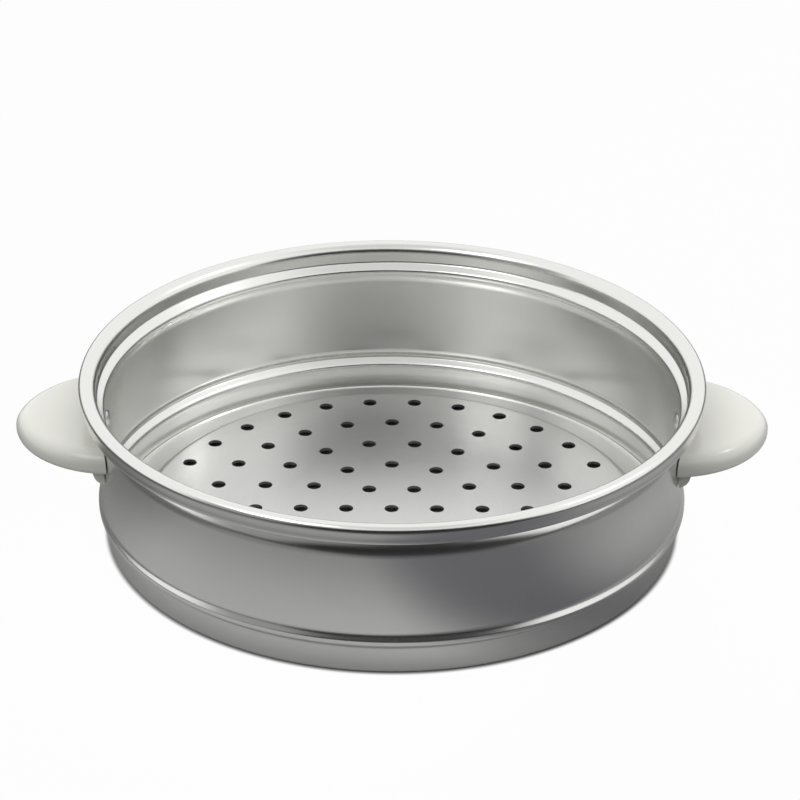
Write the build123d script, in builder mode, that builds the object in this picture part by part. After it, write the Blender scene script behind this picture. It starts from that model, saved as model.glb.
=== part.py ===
from build123d import *
import os
from math import cos, degrees, radians, sin, sqrt

os.makedirs("parts", exist_ok=True)

# Food steamer basket: a drawn aluminium shell that drops into a pot, a loose
# perforated plate for its floor, and two moulded tab handles, each carried by
# a steel bracket riveted to the wall.
# Origin at the centre of the underside, +Z up, handles on +X and -X.

# Driving dimensions of the shell, in millimetres
overall_height = 68.4
sheet = 1.0
rim_radius = 125.0  # outside of the rim
rim_overhang = 7.2  # outside of the wall to the outside of the rim
rim_inner_round = 4.3  # from the collar up to the crest of the rim
rim_outer_round = 2.5  # from the crest out to the skirt
skirt_length = 4.5
skirt_lean = 12.0  # degrees that the skirt leans in towards the wall
lid_recess_depth = 8.6  # crest of the rim to the outer end of the lid's seat
lid_seat_fall = 2.9  # height that the lid's seat slopes over
lid_seat_round = 2.6
neck_step = 1.97  # how far the neck under the rim lies inside the wall
neck_round = 1.0
neck_flank_height = 3.15  # height of the flank from the neck out to the wall
neck_flank_round = 9.0
bead_stand = 1.2  # bead that stops the basket on the pot, measured out from the wall
bead_top = 17.8
bead_rise = 2.2  # height of each sloping flank of the bead
bead_land = 2.0  # straight height of the bead's crest
bead_round = 1.6
bead_root_round = 4.0  # where the bead runs up into the wall
spigot_step = 1.8  # part that drops into the pot, measured in from the wall
corner_round = 1.7
floor_flange_width = 10.0

# Driving dimensions of the loose plate
plate_sheet = 1.2
plate_play = 3.4  # gap between the plate's edge and the spigot
plate_lift = 2.4  # height of the perforated field above the plate's seat
plate_seat_width = 8.0
plate_step_width = 2.6
plate_step_round = 1.6
steam_hole_radius = 2.9
steam_ring_count = 5
holes_in_first_ring = 6

# Driving dimensions of the handles
handle_length = 33.6  # outside of the wall to the handle's tip
handle_half_width = 37.6
handle_tip_radius = 18.0
handle_root_depth = 7.8  # outside of the wall back to where the outline is widest
handle_drop = 28.4  # crest of the rim to the flat underside
handle_thickness = 9.8  # at the crest of the crowned top
handle_crown = 0.8  # height that the top falls from its crest to its long sides
handle_top_round = 5.6
handle_under_round = 2.4
handle_wall = 2.8
handle_top_skin = 3.2
handle_seam = 0.4  # gap between the handle's root and the wall
handle_rib = 1.6
chin_depth = 4.8  # how far the chin under the root stands off the wall
chin_drop = 6.1
chin_half_angle = 16.4

# Driving dimensions of the brackets, rivets and screws
bracket_sheet = 1.5
bracket_half_angle = 9.4
bracket_leg_height = 8.5
bracket_bend = 1.0
bracket_play = 0.3
tongue_length = 18.2  # outside of the wall to the tongue's end
tongue_half_width = 11.0
tongue_corner = 3.0
tongue_web = 3.0  # handle material under the tongue
rivet_radius = 2.0
rivet_head_radius = 3.6
rivet_head_height = 1.3
rivet_tail_radius = 3.0
rivet_tail_height = 1.0
rivet_angle = 6.0
rivet_drop = 0.7  # handle's underside to the rivets
screw_radius = 1.5
screw_clearance_radius = 1.7
screw_head_radius = 2.8
screw_sink_radius = 3.0
screw_sink_angle = 90.0
screw_tip = 0.4  # screw standing out above the tongue
screw_stand_off = 12.2  # outside of the wall to the screws
screw_spacing = 13.0

# Turns of the two handles about the axis of the basket, in degrees
handle_turns = {"right": 0.0, "left": 180.0}

# Heights and radii that follow from the sizes above
wall_radius = rim_radius - rim_overhang
bead_radius = wall_radius + bead_stand
spigot_radius = wall_radius - spigot_step
floor_opening_radius = spigot_radius - floor_flange_width
collar_radius = rim_radius - rim_outer_round - rim_inner_round + sheet
collar_top = overall_height - rim_inner_round
lid_seat_height = overall_height - lid_recess_depth
neck_height = lid_seat_height - lid_seat_fall
neck_radius = wall_radius - neck_step
bead_high = bead_top - bead_rise
bead_low = bead_high - bead_land
spigot_height = bead_low - bead_rise

plate_radius = spigot_radius - sheet - plate_play
steam_ring_pitch = plate_radius / (steam_ring_count + 1)

handle_reach = wall_radius + handle_length
handle_flank_start = wall_radius - handle_root_depth
handle_bottom = overall_height - handle_drop
handle_middle_height = handle_bottom + handle_thickness / 2
handle_root_radius = wall_radius + handle_seam
chin_radius = wall_radius + chin_depth
tongue_reach = wall_radius + tongue_length
screw_reach = wall_radius + screw_stand_off
tongue_bottom = handle_bottom + tongue_web
tongue_top = tongue_bottom + bracket_sheet
leg_bottom = tongue_top - bracket_leg_height
leg_radius = wall_radius + bracket_sheet
rivet_height = handle_bottom - rivet_drop


def radial_plane(turn):
    """Upright plane through the axis, with its x pointing outwards at this turn in degrees."""
    across = radians(turn)
    return Plane((0, 0, 0), x_dir=(cos(across), sin(across), 0), z_dir=(sin(across), -cos(across), 0))


def outward_plane(turn, radius, height):
    """Plane that faces straight out from the axis at this turn, radius and height."""
    across = radians(turn)
    outward = Vector(cos(across), sin(across), 0)
    return Plane(outward * radius + Vector(0, 0, height), x_dir=(-sin(across), cos(across), 0), z_dir=outward)


def rivet_turns(handle_turn):
    """Turns of the two rivets beside a handle's middle."""
    return [handle_turn - rivet_angle, handle_turn + rivet_angle]


def screw_places():
    """Places of the two screws on the underside of the right handle, as planes that face down."""
    return [
        Plane((screw_reach, side * screw_spacing / 2, handle_bottom), z_dir=(0, 0, -1)) for side in (-1, 1)
    ]


def draw_handle_outline(inset):
    """Rounded tab outline: two wide flanks that run tangent into a small round tip."""
    tip_centre = handle_reach - handle_tip_radius
    span = tip_centre - handle_flank_start
    flank_radius = (span**2 + handle_half_width**2 - handle_tip_radius**2) / (
        2 * (handle_half_width - handle_tip_radius)
    )
    to_tip = Vector(span, flank_radius - handle_half_width).normalized()
    tip_radius = handle_tip_radius - inset
    half_width = handle_half_width - inset
    meeting = Vector(tip_centre, 0) + to_tip * tip_radius
    TangentArc((handle_flank_start, half_width), (meeting.X, meeting.Y), tangent=(1, 0))
    ThreePointArc((meeting.X, meeting.Y), (handle_reach - inset, 0), (meeting.X, -meeting.Y))
    TangentArc((handle_flank_start, -half_width), (meeting.X, -meeting.Y), tangent=(1, 0))
    Line((handle_flank_start, -half_width), (handle_flank_start, half_width))


# Shell: one sheet from the floor flange to the lower edge of the skirt
with BuildPart() as basket_shell:
    with BuildSketch(Plane.XZ):
        with BuildLine():
            FilletPolyline(
                (floor_opening_radius, 0),
                (spigot_radius, 0),
                (spigot_radius, spigot_height),
                (bead_radius, bead_low),
                (bead_radius, bead_high),
                (wall_radius, bead_top),
                (wall_radius, neck_height - neck_flank_height),
                (neck_radius, neck_height),
                (collar_radius, lid_seat_height),
                (collar_radius, collar_top),
                radius=[
                    corner_round,
                    bead_round,
                    bead_round,
                    bead_round,
                    bead_root_round,
                    neck_flank_round,
                    neck_round,
                    lid_seat_round,
                ],
            )
            inner_arch = JernArc((collar_radius, collar_top), (0, 1), rim_inner_round - sheet, -90)
            outer_arch = JernArc(inner_arch @ 1, inner_arch % 1, rim_outer_round - sheet, -90 - skirt_lean)
            PolarLine(outer_arch @ 1, skirt_length, direction=outer_arch % 1)
            offset(amount=sheet, side=Side.LEFT)
        make_face()
    revolve(axis=Axis.Z)
    for handle_turn in handle_turns.values():
        for turn in rivet_turns(handle_turn):
            with BuildSketch(outward_plane(turn, wall_radius, rivet_height)):
                Circle(rivet_radius)
            extrude(amount=2 * sheet, both=True, mode=Mode.SUBTRACT)
basket_shell.part.label = "basket_shell"
export_step(basket_shell.part, "parts/basket_shell.step")

# Loose floor plate: a flat seat on the flange and a raised perforated field
with BuildPart() as steam_plate:
    plate_step_outer = plate_radius - plate_seat_width
    with BuildSketch(Plane.XZ):
        with BuildLine():
            FilletPolyline(
                (0, sheet + plate_lift),
                (plate_step_outer - plate_step_width, sheet + plate_lift),
                (plate_step_outer, sheet),
                (plate_radius, sheet),
                radius=plate_step_round,
            )
            offset(amount=plate_sheet, side=Side.LEFT)
        make_face()
    revolve(axis=Axis.Z)
    with BuildSketch(Plane.XY.offset(sheet + plate_lift)):
        Circle(steam_hole_radius)
        for ring in range(1, steam_ring_count + 1):
            with PolarLocations(ring * steam_ring_pitch, ring * holes_in_first_ring):
                Circle(steam_hole_radius)
    extrude(amount=plate_sheet, mode=Mode.SUBTRACT)
steam_plate.part.label = "steam_plate"
export_step(steam_plate.part, "parts/steam_plate.step")

# Handle moulding: bullnosed tab, chin over the rivets, ribbed hollow underside
with BuildPart() as handle:
    with BuildSketch(Plane.XY.offset(handle_bottom)):
        with BuildLine():
            draw_handle_outline(0)
        make_face()
    extrude(amount=handle_thickness)
    crown_radius = (handle_half_width**2 + handle_crown**2) / (2 * handle_crown)
    with Locations((wall_radius, 0, handle_bottom + handle_thickness - crown_radius)):
        Sphere(crown_radius, mode=Mode.INTERSECT)
    crowned_top = handle.faces().filter_by(GeomType.SPHERE)[0]
    root_edge = crowned_top.edges().sort_by(Axis.X)[0]
    fillet(crowned_top.edges() - [root_edge], handle_top_round)
    under_edges = handle.faces().sort_by(Axis.Z)[0].edges().filter_by(GeomType.CIRCLE)
    fillet(under_edges, handle_under_round)

    with BuildSketch(Plane.XY.offset(handle_bottom)) as hollow:
        with BuildLine():
            draw_handle_outline(handle_wall)
        make_face()
        Circle(chin_radius, mode=Mode.SUBTRACT)
        pad_length = tongue_reach + handle_wall - handle_flank_start
        with Locations((handle_flank_start + pad_length / 2, 0)):
            Rectangle(pad_length, 2 * (tongue_half_width + handle_wall), mode=Mode.SUBTRACT)
        with Locations((screw_reach, 0)):
            Rectangle(handle_rib, 2 * handle_half_width, mode=Mode.SUBTRACT)
        with Locations((handle_reach, 0)):
            Rectangle(2 * (handle_reach - tongue_reach), handle_rib, mode=Mode.SUBTRACT)
    extrude(amount=handle_thickness - handle_top_skin, mode=Mode.SUBTRACT)

    with BuildSketch(radial_plane(-chin_half_angle)):
        with BuildLine():
            Polyline(
                (wall_radius, handle_bottom - chin_drop),
                (wall_radius, handle_middle_height),
                (chin_radius, handle_middle_height),
                (chin_radius, handle_bottom),
            )
            TangentArc(
                (chin_radius, handle_bottom), (wall_radius, handle_bottom - chin_drop), tangent=(0, -1)
            )
        make_face()
    revolve(axis=Axis.Z, revolution_arc=2 * chin_half_angle)

    with BuildSketch(Plane.XY):
        Circle(handle_root_radius)
    extrude(amount=overall_height, mode=Mode.SUBTRACT)

    leg_pocket_half_angle = bracket_half_angle + degrees(bracket_play / wall_radius)
    with BuildSketch(radial_plane(-leg_pocket_half_angle)):
        with Locations((wall_radius, leg_bottom - bracket_play)):
            Rectangle(
                bracket_sheet + bracket_play, bracket_leg_height + bracket_play, align=(Align.MIN, Align.MIN)
            )
    revolve(axis=Axis.Z, revolution_arc=2 * leg_pocket_half_angle, mode=Mode.SUBTRACT)

    tail_half_angle = rivet_angle + degrees((rivet_tail_radius + bracket_play) / leg_radius)
    tail_bottom = rivet_height - rivet_tail_radius - bracket_play
    with BuildSketch(radial_plane(-tail_half_angle)):
        with Locations((wall_radius, tail_bottom)):
            Rectangle(
                bracket_sheet + rivet_tail_height + bracket_play,
                tongue_bottom - tail_bottom,
                align=(Align.MIN, Align.MIN),
            )
    revolve(axis=Axis.Z, revolution_arc=2 * tail_half_angle, mode=Mode.SUBTRACT)

    slot_length = tongue_reach + bracket_play - handle_flank_start
    with BuildSketch(Plane.XY.offset(tongue_bottom)):
        with Locations((handle_flank_start + slot_length / 2, 0)):
            Rectangle(slot_length, 2 * (tongue_half_width + bracket_play))
    extrude(amount=bracket_sheet, mode=Mode.SUBTRACT)

    with Locations(*screw_places()):
        CounterSinkHole(
            screw_clearance_radius,
            screw_sink_radius,
            depth=tongue_web + bracket_sheet + 2 * screw_tip,
            counter_sink_angle=screw_sink_angle,
        )

# Bracket: a curved leg against the wall, bent out into a flat tongue
with BuildPart() as bracket:
    with BuildSketch(radial_plane(-bracket_half_angle)):
        with Locations((wall_radius, leg_bottom)):
            Rectangle(bracket_sheet, bracket_leg_height, align=(Align.MIN, Align.MIN))
    revolve(axis=Axis.Z, revolution_arc=2 * bracket_half_angle)
    with BuildSketch(Plane.XY.offset(tongue_bottom)):
        blank_length = tongue_reach - handle_flank_start
        with Locations((handle_flank_start + blank_length / 2, 0)):
            RectangleRounded(blank_length, 2 * tongue_half_width, tongue_corner)
        Circle(wall_radius, mode=Mode.SUBTRACT)
    extrude(amount=bracket_sheet)
    bend = bracket.edges().filter_by(GeomType.CIRCLE).filter_by_position(Axis.Z, tongue_bottom, tongue_bottom)
    fillet(bend.group_by(SortBy.RADIUS)[-1], bracket_bend)
    for turn in rivet_turns(handle_turns["right"]):
        with BuildSketch(outward_plane(turn, wall_radius, rivet_height)):
            Circle(rivet_radius)
        extrude(amount=2 * bracket_sheet, both=True, mode=Mode.SUBTRACT)
    with Locations(*screw_places()):
        Hole(screw_radius, depth=handle_thickness)

# Two rivets: domed heads inside the basket, flat tails under the chin
with BuildPart() as rivets:
    head_seat = sqrt((wall_radius - sheet) ** 2 - rivet_head_radius**2)
    head_crest = head_seat - rivet_head_height
    tail_end = leg_radius + rivet_tail_height
    for turn in rivet_turns(handle_turns["right"]):
        with BuildSketch(radial_plane(turn)):
            with BuildLine():
                TangentArc(
                    (head_crest, rivet_height), (head_seat, rivet_height + rivet_head_radius), tangent=(0, 1)
                )
                Polyline(
                    (head_seat, rivet_height + rivet_head_radius),
                    (head_seat, rivet_height + rivet_radius),
                    (leg_radius, rivet_height + rivet_radius),
                    (leg_radius, rivet_height + rivet_tail_radius),
                    (tail_end, rivet_height + rivet_tail_radius),
                    (tail_end, rivet_height),
                    (head_crest, rivet_height),
                )
            make_face()
        outward = outward_plane(turn, head_seat, rivet_height)
        revolve(axis=Axis(outward.origin, outward.z_dir))

# Two countersunk screws driven up into the tongue
with BuildPart() as screws:
    head_sunk = screw_sink_radius - screw_head_radius
    head_height = screw_head_radius - screw_radius
    screw_top = tongue_web + bracket_sheet + screw_tip
    for place in screw_places():
        with BuildSketch(Plane(place.origin, x_dir=(1, 0, 0), z_dir=(0, -1, 0))):
            with BuildLine():
                Polyline(
                    (0, head_sunk),
                    (screw_head_radius, head_sunk),
                    (screw_radius, head_sunk + head_height),
                    (screw_radius, screw_top),
                    (0, screw_top),
                    close=True,
                )
            make_face()
        revolve(axis=Axis(place.origin, (0, 0, 1)))

# The same pieces serve both sides, turned about the basket's axis
side_pieces = {
    "handle": handle.part,
    "handle_bracket": bracket.part,
    "bracket_rivets": rivets.part,
    "handle_screws": screws.part,
}
for side, handle_turn in handle_turns.items():
    for name, piece in side_pieces.items():
        placed = piece.rotate(Axis.Z, handle_turn)
        placed.label = f"{side}_{name}"
        export_step(placed, f"parts/{placed.label}.step")
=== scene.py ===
from math import atan2, ceil, copysign, cos, pi, radians, sin, tan

import bpy
from mathutils import Matrix, Quaternion, Vector


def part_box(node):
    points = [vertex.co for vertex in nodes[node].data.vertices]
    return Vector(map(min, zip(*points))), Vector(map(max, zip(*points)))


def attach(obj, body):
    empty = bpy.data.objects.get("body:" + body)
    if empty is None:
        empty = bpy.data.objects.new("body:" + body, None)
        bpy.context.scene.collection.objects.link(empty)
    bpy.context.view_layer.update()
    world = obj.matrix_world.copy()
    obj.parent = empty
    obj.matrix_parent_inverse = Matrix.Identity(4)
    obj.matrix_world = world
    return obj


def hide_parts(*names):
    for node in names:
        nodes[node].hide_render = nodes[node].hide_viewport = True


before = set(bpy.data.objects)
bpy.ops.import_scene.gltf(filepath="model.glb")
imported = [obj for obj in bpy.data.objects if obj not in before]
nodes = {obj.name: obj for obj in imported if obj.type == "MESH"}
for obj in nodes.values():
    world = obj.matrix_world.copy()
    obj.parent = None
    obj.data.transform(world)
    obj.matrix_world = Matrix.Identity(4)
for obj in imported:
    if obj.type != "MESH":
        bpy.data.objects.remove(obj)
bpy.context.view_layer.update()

MM = 0.001  # the scene's unit is the metre
sides = ("left", "right")

# Camera, fitted to the round rim, bead and foot of the basket
image_side = 800  # pixels
sight_pixel = (391.88, 454.28)  # where the line of sight meets the image
focal_pixels = 2959.3
camera_elevation = 28.956  # degrees above the horizon
camera_roll = 0.327  # degrees
camera_distance = 1.2
aim_height = 30 * MM
sensor_width = 36.0  # millimetres, the unit that Blender's lens takes

# Sheet of the shell, with the names and sizes of the solid's own profile
overall_height = 68.4 * MM
sheet = 1.0 * MM
rim_radius = 125.0 * MM
rim_overhang = 7.2 * MM
rim_inner_round = 4.3 * MM
rim_outer_round = 2.5 * MM
skirt_length = 4.5 * MM
skirt_lean = 12.0  # degrees
skirt_flare = 4.0  # degrees that its foot leans out again, a slight cove of the visual model alone
lid_recess_depth = 8.6 * MM
lid_seat_fall = 2.9 * MM
lid_seat_round = 2.6 * MM
neck_step = 1.97 * MM
neck_round = 1.0 * MM
neck_flank_height = 3.15 * MM
neck_flank_round = 9.0 * MM
bead_stand = 1.2 * MM
bead_top = 17.8 * MM
bead_rise = 2.2 * MM
bead_land = 2.0 * MM
bead_round = 1.6 * MM
bead_root_round = 4.0 * MM
spigot_step = 1.8 * MM
corner_round = 1.7 * MM
floor_flange_width = 10.0 * MM
sheet_edge_round = 0.2 * MM
sheet_edge_steps = 2

# Fineness of spun pieces
arc_step = 8.0  # degrees of a rounded corner between two rings
ring_support = 0.3 * MM  # distance of the ring that keeps a straight run straight beside a round
supported_run = 4 * ring_support  # a straight run longer than this gets such rings
shell_spin_steps = 256
screw_spin_steps = 48
same_point = 0.001 * MM
smooth_angle = 40.0  # degrees
crisp_angle = 60.0  # degrees

# Screws under the handles
screw_radius = 1.5 * MM
screw_head_radius = 2.8 * MM
screw_head_edge = 0.15 * MM
thread_pitch = 0.7 * MM
thread_depth = 0.25 * MM
recess_length = 3.2 * MM
recess_width = 0.7 * MM
recess_depth = 1.1 * MM
recess_foot_share = 0.55  # the recess narrows to this at its foot

# Finishes: sizes of the marks that they show, and how many finer layers these have
turned_line_length = 60 * MM
turned_line_detail = 3
cloud_size = 35 * MM
cloud_detail = 2
shell_line_width = 0.5 * MM
shell_line_depth = 0.006 * MM
plate_line_width = 0.8 * MM
plate_line_depth = 0.012 * MM
plastic_drift_size = 28 * MM
plastic_drift_detail = 2
plastic_ripple_size = 6 * MM
plastic_ripple_detail = 1
plastic_ripple_depth = 0.02 * MM
rolled_spot_size = 3 * MM
rivet_spot_size = 1.2 * MM
zinc_spot_size = 0.8 * MM
mottle_detail = 4
mottle_depth = 0.01 * MM

# Places of the sockets of a Mix node, where several have the same name
mix_value_sockets = (2, 3)
mix_colour_sockets = (6, 7)
mix_colour_result = 2

# Floor: its colour is painted with light and shade that the metal mirrors: a painted pool of light close
# round the basket, a painted shadow of the basket in front on the right, painted shade at its foot, and
# painted shade far in front and behind on the left. A fade across the floor has its turn to the right of
# the camera, in degrees, then its start and end along that turn, and a fade round the basket has its
# start and end from the axis.
floor_side = 8.0
floor_rough_share = 0.9
painted_foot_shade_share = 0.68  # painted contact shade: paleness that is left right at the basket's foot
# Painted pool of light on the floor: its colour close round the basket, and far out
painted_pool_near = (0.59, 0.59, 0.59, 1)
painted_pool_far = (0.22, 0.22, 0.22, 1)
# Painted shadow of the basket on the floor, in front on the right
painted_shadow_colour = (0.138, 0.136, 0.152, 1)
painted_foot_shade_fade = (0.116, 0.135)
painted_pool_fade = (0.125, 0.225)
painted_shadow_front_fade = (54, 0.0895, 0.14)
painted_shadow_right_end = (100, 0.0735, 0.16)
painted_left_shade_fade = (-120, 0.08, 0.15)
painted_left_shade_share = 0.5  # painted shade: paleness that is left behind the basket on the left
painted_far_shade_fade = (10, 0.20, 0.36)
painted_far_shade_share = 0.1  # painted shade: paleness that is left far in front, which keeps the shade under the rim dark
foot_shadow = (0.1155, 0.1178)  # the floor is white to the camera beyond this
# The metal mirrors the floor as grey, so glossy rays get little of the white.
floor_white_shares = {"Is Camera Ray": 0.98, "Is Glossy Ray": 0.02, "Is Transmission Ray": 0.98}

# Room: dimmed caps of the sky by turn to the right of the camera, elevation, and the angles from the
# middle of the cap at which its shade is full and gone, in degrees
room_level = 1.04
room_white_shares = {"Is Camera Ray": 1.0}
dark_front = (9, -12, 42, 56)
dark_front_share = 0.98
dim_left = (-44, 16, 16, 36)
dim_left_share = 0.7
dim_above = (0, 72, 14, 30)
dim_above_share = 0.28

# Softboxes by turn to the right of the camera, elevation, side and power
lamp_distance = 1.2
lamps = {
    "left_softbox": (-46, 50, 0.45, 1.7),
    "right_softbox": (97, 48, 0.14, 0.9),
}
white = (1, 1, 1, 1)


def corner_arc(before, corner, after, radius):
    """Points of the arc of this radius that rounds one corner of a flat path."""
    arriving = (corner - before).normalized()
    leaving = (after - corner).normalized()
    turn = atan2(arriving.cross(leaving), arriving.dot(leaving))
    start = corner - radius * tan(abs(turn) / 2) * arriving
    centre = start + copysign(radius, turn) * Vector((-arriving.y, arriving.x))
    steps = ceil(abs(turn) / radians(arc_step))
    turnings = [Matrix.Rotation(turn * step / steps, 2) for step in range(steps + 1)]
    return [centre + turning @ (start - centre) for turning in turnings]


def rounded_path(corners, rounds):
    """Points of a flat path that takes each inner corner on an arc of its own round.
    A straight run gets a point close to each of its ends, so that it is shaded as straight."""
    arcs = [corner_arc(*turn) for turn in zip(corners, corners[1:], corners[2:], rounds)]
    points = [corners[0]]
    for arc in [*arcs, [corners[-1]]]:
        run = arc[0] - points[-1]
        if run.length > supported_run:
            points.append(points[-1] + ring_support * run.normalized())
            points.append(arc[0] - ring_support * run.normalized())
        points.extend(arc)
    return points


def shell_path():
    """Outside and underside of the shell's sheet, as radius and height."""
    wall_radius = rim_radius - rim_overhang
    spigot_radius = wall_radius - spigot_step
    bead_radius = wall_radius + bead_stand
    bead_high = bead_top - bead_rise
    bead_low = bead_high - bead_land
    lid_seat_height = overall_height - lid_recess_depth
    neck_height = lid_seat_height - lid_seat_fall
    crest_radius = rim_radius - rim_outer_round
    collar_radius = crest_radius - rim_inner_round + sheet
    arch_height = overall_height - sheet
    lean = radians(skirt_lean)
    arch_run = (rim_outer_round - sheet) * tan((pi / 2 + lean) / 2)
    flare = radians(skirt_flare)
    cove_round = skirt_length / 2 / tan((lean + flare) / 2)
    skirt_top = Vector((crest_radius + arch_run, arch_height))
    skirt_middle = skirt_top - (arch_run + skirt_length / 2) * Vector((sin(lean), cos(lean)))
    corners = [
        Vector((spigot_radius - floor_flange_width, 0)),
        Vector((spigot_radius, 0)),
        Vector((spigot_radius, bead_low - bead_rise)),
        Vector((bead_radius, bead_low)),
        Vector((bead_radius, bead_high)),
        Vector((wall_radius, bead_top)),
        Vector((wall_radius, neck_height - neck_flank_height)),
        Vector((wall_radius - neck_step, neck_height)),
        Vector((collar_radius, lid_seat_height)),
        Vector((collar_radius, arch_height)),
        skirt_top,
        skirt_middle,
        skirt_middle + skirt_length / 2 * Vector((sin(flare), -cos(flare))),
    ]
    rounds = [
        corner_round,
        bead_round,
        bead_round,
        bead_round,
        bead_root_round,
        neck_flank_round,
        neck_round,
        lid_seat_round,
        rim_inner_round - sheet,
        rim_outer_round - sheet,
        cove_round,
    ]
    return rounded_path(corners, rounds)


def spin_path(name, points, steps):
    """New piece: a chain of edges drawn out through these points, then spun round the upright axis."""
    upright = [Vector((point.x, 0, point.y)) for point in points]
    bpy.ops.mesh.primitive_plane_add(size=sheet)
    piece = bpy.context.object
    piece.name = name
    bpy.ops.object.mode_set(mode="EDIT")
    bpy.ops.mesh.select_all(action="SELECT")
    bpy.ops.mesh.merge(type="CENTER")
    bpy.ops.transform.translate(value=upright[0])
    for start, end in zip(upright, upright[1:]):
        if (end - start).length > same_point:
            bpy.ops.mesh.extrude_vertices_move(TRANSFORM_OT_translate={"value": end - start})
    bpy.ops.mesh.select_all(action="SELECT")
    bpy.ops.mesh.spin(steps=steps, angle=2 * pi, center=(0, 0, 0), axis=(0, 0, 1))
    bpy.ops.mesh.select_all(action="SELECT")
    bpy.ops.mesh.remove_doubles(threshold=same_point)
    bpy.ops.mesh.normals_make_consistent(inside=False)
    bpy.ops.object.mode_set(mode="OBJECT")
    return piece


def apply_modifier(piece, kind, **settings):
    """Adds one modifier to the piece and applies it."""
    bpy.context.view_layer.objects.active = piece
    modifier = piece.modifiers.new(kind.lower(), kind)
    for key, setting in settings.items():
        setattr(modifier, key, setting)
    bpy.ops.object.modifier_apply(modifier=modifier.name)


def smooth(piece):
    """Smooth shading with crisp edges where the surface turns sharply."""
    bpy.ops.object.select_all(action="DESELECT")
    piece.select_set(True)
    bpy.context.view_layer.objects.active = piece
    bpy.ops.object.shade_smooth_by_angle(angle=radians(smooth_angle))
    piece.select_set(False)


def add_shell():
    """Spun shell of one sheet, with its two raw edges eased."""
    shell = spin_path("spun_basket_shell", shell_path(), shell_spin_steps)
    apply_modifier(shell, "SOLIDIFY", thickness=sheet, offset=1, use_even_offset=True)
    apply_modifier(
        shell,
        "BEVEL",
        width=sheet_edge_round,
        segments=sheet_edge_steps,
        limit_method="ANGLE",
        angle_limit=radians(crisp_angle),
    )
    smooth(shell)
    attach(shell, "basket")
    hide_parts("basket_shell")
    return shell


def pick(piece, kind, wanted):
    """Selects those of the piece's vertices or faces that are wanted, and goes on in edit mode."""
    bpy.ops.object.mode_set(mode="EDIT")
    bpy.ops.mesh.select_mode(type=kind)
    bpy.ops.mesh.select_all(action="DESELECT")
    bpy.ops.object.mode_set(mode="OBJECT")
    parts = piece.data.vertices if kind == "VERT" else piece.data.polygons
    for part in parts:
        part.select = wanted(part)
    bpy.ops.object.mode_set(mode="EDIT")


def cross_cutter():
    """Bar with a cross for its section that narrows upwards, for the recess in the screw's head."""
    bpy.ops.mesh.primitive_cube_add(size=recess_width)
    cutter = bpy.context.object
    pick(cutter, "FACE", lambda face: face.normal.xy.length > abs(face.normal.z))
    arm = (recess_length - recess_width) / 2
    bpy.ops.mesh.extrude_faces_move(TRANSFORM_OT_shrink_fatten={"value": arm})
    bpy.ops.mesh.select_all(action="SELECT")
    bpy.ops.transform.resize(value=(1, 1, 2 * recess_depth / recess_width))
    bpy.ops.object.mode_set(mode="OBJECT")
    pick(cutter, "VERT", lambda vertex: vertex.co.z > 0)
    bpy.ops.transform.resize(value=(recess_foot_share, recess_foot_share, 1))
    bpy.ops.object.mode_set(mode="OBJECT")
    return cutter


def model_screw():
    """Countersunk screw with a cross recess, as long as the plain ones, its head's face at the origin."""
    low, high = (Vector(corner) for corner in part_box("left_handle_screws"))
    length = high.z - low.z
    head_height = screw_head_radius - screw_radius
    profile = [
        Vector((0, 0)),
        Vector((screw_head_radius - screw_head_edge, 0)),
        Vector((screw_head_radius, screw_head_edge)),
        Vector((screw_radius, head_height)),
    ]
    height = head_height + thread_pitch
    while height < length - thread_pitch / 2:
        profile.append(Vector((screw_radius - thread_depth, height - thread_pitch / 2)))
        profile.append(Vector((screw_radius, height)))
        height += thread_pitch
    profile.append(Vector((screw_radius - thread_depth, length)))
    profile.append(Vector((0, length)))
    screw = spin_path("screw", profile, screw_spin_steps)
    cutter = cross_cutter()
    apply_modifier(screw, "BOOLEAN", operation="DIFFERENCE", object=cutter)
    bpy.data.objects.remove(cutter)
    bpy.ops.object.mode_set(mode="EDIT")
    bpy.ops.mesh.select_all(action="SELECT")
    bpy.ops.mesh.remove_doubles(threshold=same_point)
    bpy.ops.object.mode_set(mode="OBJECT")
    smooth(screw)
    return screw


def copy_screw(screw, place):
    """Copy of the modelled screw with a mesh of its own, its head's face at this place."""
    bpy.ops.object.select_all(action="DESELECT")
    screw.select_set(True)
    bpy.context.view_layer.objects.active = screw
    bpy.ops.object.duplicate()
    copy = bpy.context.object
    bpy.ops.object.mode_set(mode="EDIT")
    bpy.ops.mesh.select_all(action="SELECT")
    bpy.ops.transform.translate(value=place)
    bpy.ops.object.mode_set(mode="OBJECT")
    return copy


def add_screws(side, screw):
    """The two screws under one handle, copies of the modelled one in place of their plain solids."""
    node = f"{side}_handle_screws"
    low, high = (Vector(corner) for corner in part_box(node))
    middle = (low + high) / 2
    stand = (high.y - low.y) / 2 - screw_head_radius
    places = [Vector((middle.x, middle.y + way * stand, low.z)) for way in (-1, 1)]
    made = [copy_screw(screw, place) for place in places]
    bpy.ops.object.select_all(action="DESELECT")
    for copy in made:
        copy.select_set(True)
    bpy.context.view_layer.objects.active = made[0]
    bpy.ops.object.join()
    screws = bpy.context.object
    screws.name = f"{side}_cross_recess_screws"
    screws.select_set(False)
    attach(screws, "basket")
    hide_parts(node)
    return screws


def start_material(name):
    """New material with its node tree and its one shader."""
    material = bpy.data.materials.new(name)
    material.use_nodes = True
    tree = material.node_tree
    return material, tree, tree.nodes["Principled BSDF"]


def add_node(tree, kind, settings=None, **values):
    """New node of this kind: settings are its own options, and values go to its inputs by name.
    A value that is an output of another node is linked."""
    node = tree.nodes.new(kind)
    for key, setting in (settings or {}).items():
        setattr(node, key, setting)
    for key, value in values.items():
        fill_input(tree, node.inputs[key], value)
    return node


def fill_input(tree, socket, value):
    """Links a node's output to this socket, or sets the socket's own value."""
    if isinstance(value, bpy.types.NodeSocket):
        tree.links.new(value, socket)
    else:
        socket.default_value = value


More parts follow.
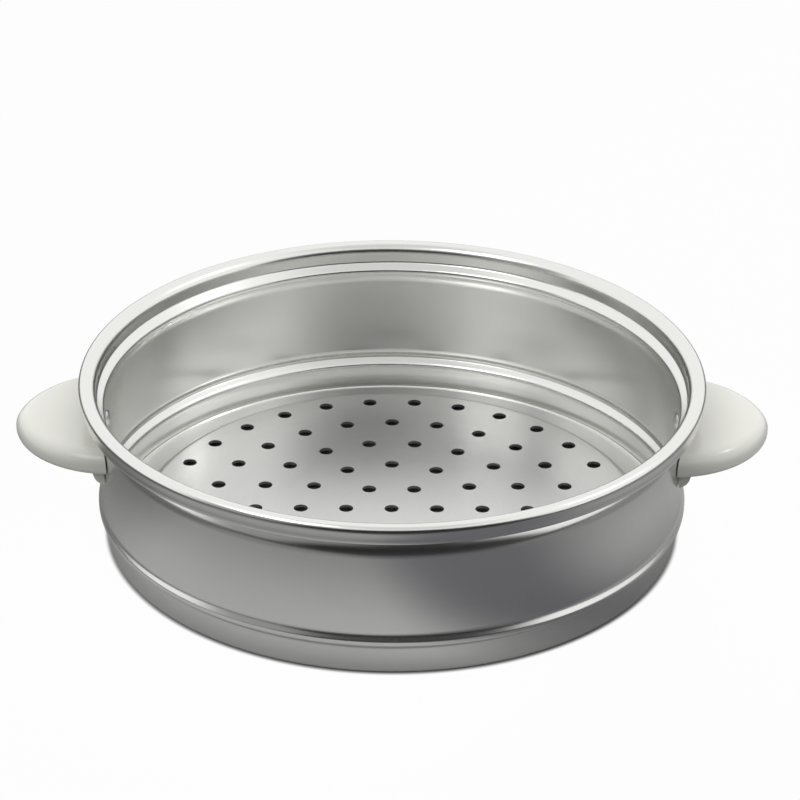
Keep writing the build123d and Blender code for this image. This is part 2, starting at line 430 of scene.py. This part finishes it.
def math_node(tree, operation, first, second):
    """Sum, product or other step on two values."""
    node = add_node(tree, "ShaderNodeMath", {"operation": operation})
    fill_input(tree, node.inputs[0], first)
    fill_input(tree, node.inputs[1], second)
    return node.outputs[0]


def between(tree, value, low, high):
    """Value from 0 to 1 as a value from low to high."""
    node = add_node(tree, "ShaderNodeMapRange", Value=value)
    node.inputs["To Min"].default_value = low
    node.inputs["To Max"].default_value = high
    return node.outputs["Result"]


def colour_between(tree, factor, first, second):
    """Colour that goes from first to second with this factor."""
    node = add_node(tree, "ShaderNodeMix", {"data_type": "RGBA"})
    fill_input(tree, node.inputs["Factor"], factor)
    for place, colour in zip(mix_colour_sockets, (first, second)):
        fill_input(tree, node.inputs[place], colour)
    return node.outputs[mix_colour_result]


def reach(tree, place):
    """Distance of a place from the origin."""
    measure = add_node(tree, "ShaderNodeVectorMath", {"operation": "LENGTH"})
    fill_input(tree, measure.inputs[0], place)
    return measure.outputs["Value"]


def turned_lines(tree, line_width):
    """Noise drawn out into fine lines round the basket's axis."""
    place = add_node(tree, "ShaderNodeTexCoord").outputs["Object"]
    apart = add_node(tree, "ShaderNodeSeparateXYZ", Vector=place)
    flat = add_node(tree, "ShaderNodeCombineXYZ", X=apart.outputs["X"], Y=apart.outputs["Y"])
    radius = reach(tree, flat.outputs["Vector"])
    across = add_node(
        tree,
        "ShaderNodeCombineXYZ",
        X=math_node(tree, "DIVIDE", radius, line_width),
        Y=math_node(tree, "DIVIDE", apart.outputs["Z"], line_width),
        Z=math_node(tree, "DIVIDE", apart.outputs["X"], turned_line_length),
    )
    noise = add_node(
        tree,
        "ShaderNodeTexNoise",
        {"noise_dimensions": "4D"},
        Vector=across.outputs["Vector"],
        W=math_node(tree, "DIVIDE", apart.outputs["Y"], turned_line_length),
    )
    noise.inputs["Scale"].default_value = 1
    noise.inputs["Detail"].default_value = turned_line_detail
    return noise.outputs["Fac"]


def grain(tree, size, detail):
    """Even noise with spots of about this size."""
    place = add_node(tree, "ShaderNodeTexCoord").outputs["Object"]
    noise = add_node(tree, "ShaderNodeTexNoise", Vector=place)
    noise.inputs["Scale"].default_value = 1 / size
    noise.inputs["Detail"].default_value = detail
    return noise.outputs["Fac"]


def add_bump(tree, shader, height, depth):
    """Raises the surface by a pattern of this depth."""
    bump = add_node(tree, "ShaderNodeBump", Height=height)
    bump.inputs["Distance"].default_value = depth
    fill_input(tree, shader.inputs["Normal"], bump.outputs["Normal"])


def turned_aluminium(name, light, dark, smooth_share, rough_share, line_width, line_depth):
    """Satin aluminium with turning lines and broad, faint clouds in its finish."""
    material, tree, shader = start_material(name)
    lines = turned_lines(tree, line_width)
    clouds = grain(tree, cloud_size, cloud_detail)
    finish = math_node(tree, "DIVIDE", math_node(tree, "ADD", lines, clouds), 2)
    fill_input(tree, shader.inputs["Base Color"], colour_between(tree, finish, dark, light))
    fill_input(tree, shader.inputs["Roughness"], between(tree, finish, smooth_share, rough_share))
    shader.inputs["Metallic"].default_value = 1
    add_bump(tree, shader, lines, line_depth)
    return material


def moulded_plastic(name, light, dark, smooth_share, rough_share):
    """Glossy off-white moulding with a slow drift of colour and the faint ripple of a moulded skin."""
    material, tree, shader = start_material(name)
    drift = grain(tree, plastic_drift_size, plastic_drift_detail)
    ripple = grain(tree, plastic_ripple_size, plastic_ripple_detail)
    fill_input(tree, shader.inputs["Base Color"], colour_between(tree, drift, dark, light))
    fill_input(tree, shader.inputs["Roughness"], between(tree, ripple, smooth_share, rough_share))
    add_bump(tree, shader, ripple, plastic_ripple_depth)
    return material


def plated_metal(name, light, dark, smooth_share, rough_share, spot):
    """Plain metal with the mottled finish of rolling or plating."""
    material, tree, shader = start_material(name)
    mottle = grain(tree, spot, mottle_detail)
    fill_input(tree, shader.inputs["Base Color"], colour_between(tree, mottle, dark, light))
    fill_input(tree, shader.inputs["Roughness"], between(tree, mottle, smooth_share, rough_share))
    shader.inputs["Metallic"].default_value = 1
    add_bump(tree, shader, mottle, mottle_depth)
    return material


def dress(pieces, material):
    """Puts one material on these pieces."""
    for piece in pieces:
        piece.data.materials.clear()
        piece.data.materials.append(material)


def add_camera():
    """Camera at the photograph's angle, with its shift for the photograph's framing."""
    tilt = radians(camera_elevation)
    back = Vector((0, -cos(tilt), sin(tilt)))
    bpy.ops.object.camera_add(location=Vector((0, 0, aim_height)) + camera_distance * back)
    camera = bpy.context.object
    camera.rotation_mode = "QUATERNION"
    roll = Quaternion((0, 0, 1), radians(camera_roll))
    camera.rotation_quaternion = (-back).to_track_quat("-Z", "Y") @ roll
    camera.data.sensor_width = sensor_width
    camera.data.lens = sensor_width * focal_pixels / image_side
    camera.data.shift_x = (image_side / 2 - sight_pixel[0]) / image_side
    camera.data.shift_y = (sight_pixel[1] - image_side / 2) / image_side
    bpy.context.scene.camera = camera


def towards(turn, elevation):
    """Direction from the basket, by its turn to the right of the camera and its elevation, in degrees."""
    across, up = radians(turn), radians(elevation)
    return Vector((sin(across) * cos(up), -cos(across) * cos(up), sin(up)))


def rising(tree, value, start, end):
    """Value that rises smoothly from 0 at start to 1 at end."""
    rise = add_node(tree, "ShaderNodeMapRange", {"interpolation_type": "SMOOTHSTEP"}, Value=value)
    rise.inputs["From Min"].default_value = start
    rise.inputs["From Max"].default_value = end
    return rise.outputs["Result"]


def along(tree, place, direction):
    """Distance of a place along a direction."""
    measure = add_node(tree, "ShaderNodeVectorMath", {"operation": "DOT_PRODUCT"})
    fill_input(tree, measure.inputs[0], place)
    measure.inputs[1].default_value = direction
    return measure.outputs["Value"]


def sky_cap(tree, place, cap):
    """1 inside a round cap of the sky and 0 outside its faded edge."""
    turn, elevation, full, gone = cap
    nearness = along(tree, place, towards(turn, elevation))
    return rising(tree, nearness, cos(radians(gone)), cos(radians(full)))


def ray_share(tree, shares):
    """Sum of a share for each kind of ray that is named."""
    rays = add_node(tree, "ShaderNodeLightPath")
    total = 0.0
    for ray, share in shares.items():
        total = math_node(tree, "ADD", total, math_node(tree, "MULTIPLY", rays.outputs[ray], share))
    return total


def floor_fade(tree, place, fade):
    """0 on the near side of a fade across the floor and 1 beyond it."""
    turn, start, end = fade
    return rising(tree, along(tree, place, towards(turn, 0)), start, end)


def add_floor():
    """Pale floor that is white to the camera and keeps a faint shadow; its colour holds a painted pool of
    light round the basket and painted shade and shadow, which the metal mirrors.
    """
    bpy.ops.mesh.primitive_plane_add(size=floor_side)
    floor = bpy.context.object
    floor.name = "floor"
    material, tree, shader = start_material("floor_painted_light_and_shade")
    place = add_node(tree, "ShaderNodeTexCoord").outputs["Object"]
    from_axis = reach(tree, place)
    # Painted shadow of the basket in front on the right, ended on the right side
    front = floor_fade(tree, place, painted_shadow_front_fade)
    past_front = math_node(tree, "SUBTRACT", 1, floor_fade(tree, place, painted_shadow_right_end))
    # Painted pool of light round the basket
    painted_pool_colour = colour_between(tree, rising(tree, from_axis, *painted_pool_fade), painted_pool_near, painted_pool_far)
    shade = math_node(tree, "MULTIPLY", front, past_front)
    shaded = colour_between(tree, shade, painted_pool_colour, painted_shadow_colour)
    # Painted shade at the basket's foot
    painted_foot_shade_level = between(tree, rising(tree, from_axis, *painted_foot_shade_fade), painted_foot_shade_share, 1)
    # Painted shade far in front
    painted_far_shade_level = between(tree, floor_fade(tree, place, painted_far_shade_fade), 1, painted_far_shade_share)
    # Painted shade behind the basket on the left
    painted_left_shade_level = between(tree, floor_fade(tree, place, painted_left_shade_fade), 1, painted_left_shade_share)
    # All the painted shade in one level, which scales the painted floor colour
    painted_shade_level = math_node(tree, "MULTIPLY", math_node(tree, "MULTIPLY", painted_foot_shade_level, painted_far_shade_level), painted_left_shade_level)
    painted_floor_colour = add_node(tree, "ShaderNodeVectorMath", {"operation": "SCALE"}, Scale=painted_shade_level)
    fill_input(tree, painted_floor_colour.inputs[0], shaded)
    fill_input(tree, shader.inputs["Base Color"], painted_floor_colour.outputs["Vector"])
    shader.inputs["Roughness"].default_value = floor_rough_share
    shader.inputs["Specular IOR Level"].default_value = 0
    glow = add_node(tree, "ShaderNodeEmission", Color=white)
    clear_of_foot = rising(tree, from_axis, *foot_shadow)
    whiteness = math_node(tree, "MULTIPLY", ray_share(tree, floor_white_shares), clear_of_foot)
    mix = add_node(tree, "ShaderNodeMixShader")
    shown = (whiteness, shader.outputs["BSDF"], glow.outputs["Emission"])
    for socket, output in zip(mix.inputs, shown):
        fill_input(tree, socket, output)
    fill_input(tree, tree.nodes["Material Output"].inputs["Surface"], mix.outputs["Shader"])
    floor.data.materials.append(material)


def add_world():
    """Soft bright room, dark in front, dim on the left of that and overhead, and white to the camera."""
    world = bpy.data.worlds.new("soft_room")
    bpy.context.scene.world = world
    world.use_nodes = True
    tree = world.node_tree
    place = add_node(tree, "ShaderNodeTexCoord").outputs["Generated"]
    level = room_level
    caps = (
        (dark_front, dark_front_share),
        (dim_left, dim_left_share),
        (dim_above, dim_above_share),
    )
    for cap, share in caps:
        light_left = between(tree, sky_cap(tree, place, cap), 1, 1 - share)
        level = math_node(tree, "MULTIPLY", level, light_left)
    shown = add_node(tree, "ShaderNodeMix", Factor=ray_share(tree, room_white_shares))
    for socket, value in zip(mix_value_sockets, (level, 1)):
        fill_input(tree, shown.inputs[socket], value)
    fill_input(tree, tree.nodes["Background"].inputs["Strength"], shown.outputs[0])
    tree.nodes["Background"].inputs["Color"].default_value = white


def add_lamps():
    """Soft square lamps that face the basket."""
    for name, (turn, elevation, side, power) in lamps.items():
        direction = towards(turn, elevation)
        bpy.ops.object.light_add(type="AREA", location=lamp_distance * direction)
        lamp = bpy.context.object
        lamp.name = name
        lamp.rotation_mode = "QUATERNION"
        lamp.rotation_quaternion = (-direction).to_track_quat("-Z", "Y")
        lamp.data.size = side
        lamp.data.energy = power


bpy.ops.object.select_all(action="DESELECT")
bpy.context.scene.view_settings.view_transform = "Standard"

shell = add_shell()
screw = model_screw()
screws = [add_screws(side, screw) for side in sides]
bpy.data.objects.remove(screw)

dress(
    [shell],
    turned_aluminium(
        "satin_spun_aluminium",
        light=(0.83, 0.83, 0.805, 1),
        dark=(0.77, 0.77, 0.75, 1),
        smooth_share=0.18,
        rough_share=0.26,
        line_width=shell_line_width,
        line_depth=shell_line_depth,
    ),
)
dress(
    [nodes["steam_plate"]],
    turned_aluminium(
        "turned_plate_aluminium",
        light=(0.80, 0.80, 0.79, 1),
        dark=(0.70, 0.70, 0.70, 1),
        smooth_share=0.26,
        rough_share=0.38,
        line_width=plate_line_width,
        line_depth=plate_line_depth,
    ),
)
dress(
    [nodes[f"{side}_handle"] for side in sides],
    moulded_plastic(
        "warm_white_plastic",
        light=(0.86, 0.86, 0.80, 1),
        dark=(0.83, 0.83, 0.77, 1),
        smooth_share=0.15,
        rough_share=0.22,
    ),
)
dress(
    [nodes[f"{side}_handle_bracket"] for side in sides],
    plated_metal(
        "rolled_steel",
        light=(0.58, 0.58, 0.57, 1),
        dark=(0.48, 0.48, 0.48, 1),
        smooth_share=0.30,
        rough_share=0.45,
        spot=rolled_spot_size,
    ),
)
dress(
    [nodes[f"{side}_bracket_rivets"] for side in sides],
    plated_metal(
        "rivet_aluminium",
        light=(0.80, 0.80, 0.79, 1),
        dark=(0.70, 0.70, 0.70, 1),
        smooth_share=0.26,
        rough_share=0.38,
        spot=rivet_spot_size,
    ),
)
dress(
    screws,
    plated_metal(
        "zinc_plate",
        light=(0.66, 0.66, 0.64, 1),
        dark=(0.52, 0.53, 0.52, 1),
        smooth_share=0.22,
        rough_share=0.38,
        spot=zinc_spot_size,
    ),
)

add_floor()
add_world()
add_lamps()
add_camera()
